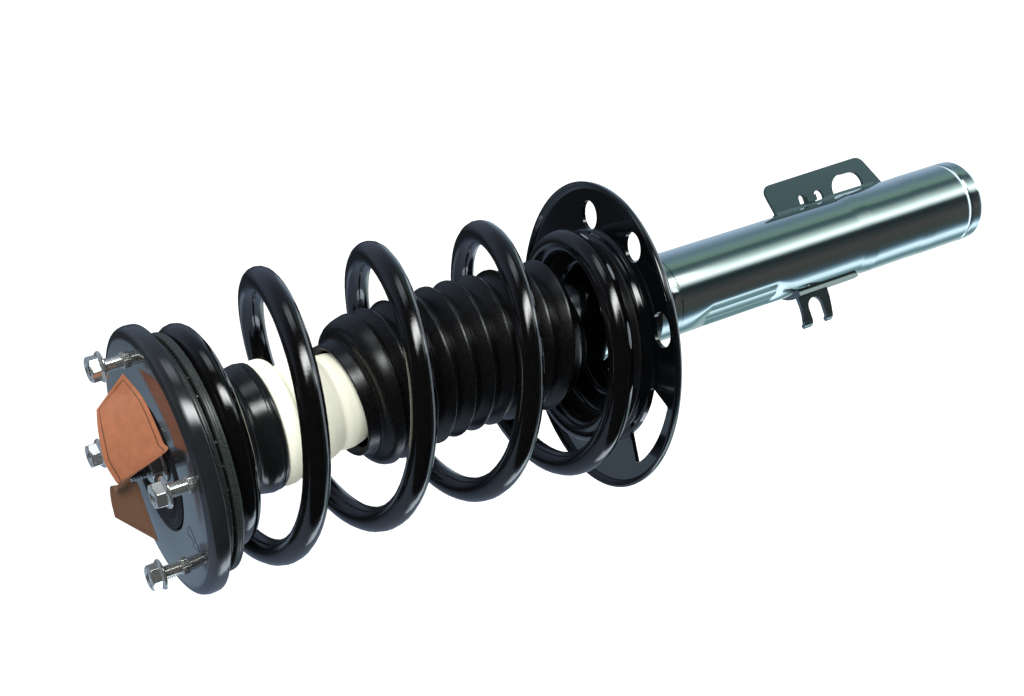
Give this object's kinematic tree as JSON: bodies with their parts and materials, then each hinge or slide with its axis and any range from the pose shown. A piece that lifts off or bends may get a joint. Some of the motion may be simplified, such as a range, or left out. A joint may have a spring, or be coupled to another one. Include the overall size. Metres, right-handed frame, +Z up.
{
  "type": "strut assembly",
  "caption": "Front suspension strut with a road spring over a damper, dust boot, bump stop, steering bearing and top mount.",
  "frame": {"origin": "on the damper's axis at the lower end of the tube, where the knuckle clamp grips it", "axes": "+Z runs up the damper's axis to the top mount; -Y is the side with the clearance flat's near edge and faces the camera; +X is the side of the line bracket"},
  "size_m": [0.1977, 0.1966, 0.6552],
  "materials": {
    "tube_steel": "polished, clear lacquer",
    "dark_steel": "satin teal-grey",
    "gloss_black": "gloss black coat",
    "spring_black": "gloss powder coat",
    "boot_rubber": "matt",
    "mount_rubber": "satin",
    "foam": "matt microcellular foam",
    "shield_plastic": "speckled grey-green",
    "black_plastic": "gloss",
    "zinc": "bright zinc",
    "ball_steel": "polished",
    "rod_chrome": "hard chrome, ground",
    "raw_steel": "machined",
    "sinter": "sintered iron",
    "band_ptfe": "filled fluoropolymer",
    "tag_vinyl": "satin vinyl"
  },
  "bodies": {
    "strut_body": {"outer_tube": "tube_steel", "base_cap": "raw_steel", "inner_tube": "raw_steel", "base_valve": "sinter", "rod_guide": "sinter", "rod_seal": "mount_rubber", "striker_cap": "black_plastic", "lower_spring_seat": "gloss_black", "seat_support": "gloss_black", "line_bracket": "dark_steel", "hose_clip": "dark_steel", "lower_insulator": "mount_rubber", "coil_spring": "spring_black", "dust_boot": "boot_rubber"},
    "upper_seat": {"upper_spring_seat": "black_plastic", "upper_insulator": "shield_plastic", "bump_stop": "foam", "bearing_balls": "ball_steel"},
    "top_mount": {"bearing_cover": "shield_plastic", "mount_plate": "gloss_black", "mount_pan": "gloss_black", "mount_rubber": "mount_rubber", "inner_sleeve": "raw_steel", "rebound_washer": "gloss_black", "piston_rod": "rod_chrome", "piston": "sinter", "piston_nut": "raw_steel", "piston_band": "band_ptfe", "rebound_stop": "mount_rubber", "rod_nut": "zinc", "studs": "zinc", "flange_nuts": "zinc", "tag": "tag_vinyl"}
  },
  "joints": [
    {"name": "strut_travel", "type": "slide", "parent": "strut_body", "child": "upper_seat", "axis": [0, 0, 1], "range_m": [-0.11, 0], "stiffness_N_per_m": 600, "deforming": ["coil_spring", "dust_boot"]},
    {"name": "steer_bearing", "type": "hinge", "parent": "upper_seat", "child": "top_mount", "pos_m": [0, 0, 0.6096], "axis": [0, 0, 1], "range_deg": [-45, 45]}
  ]
}
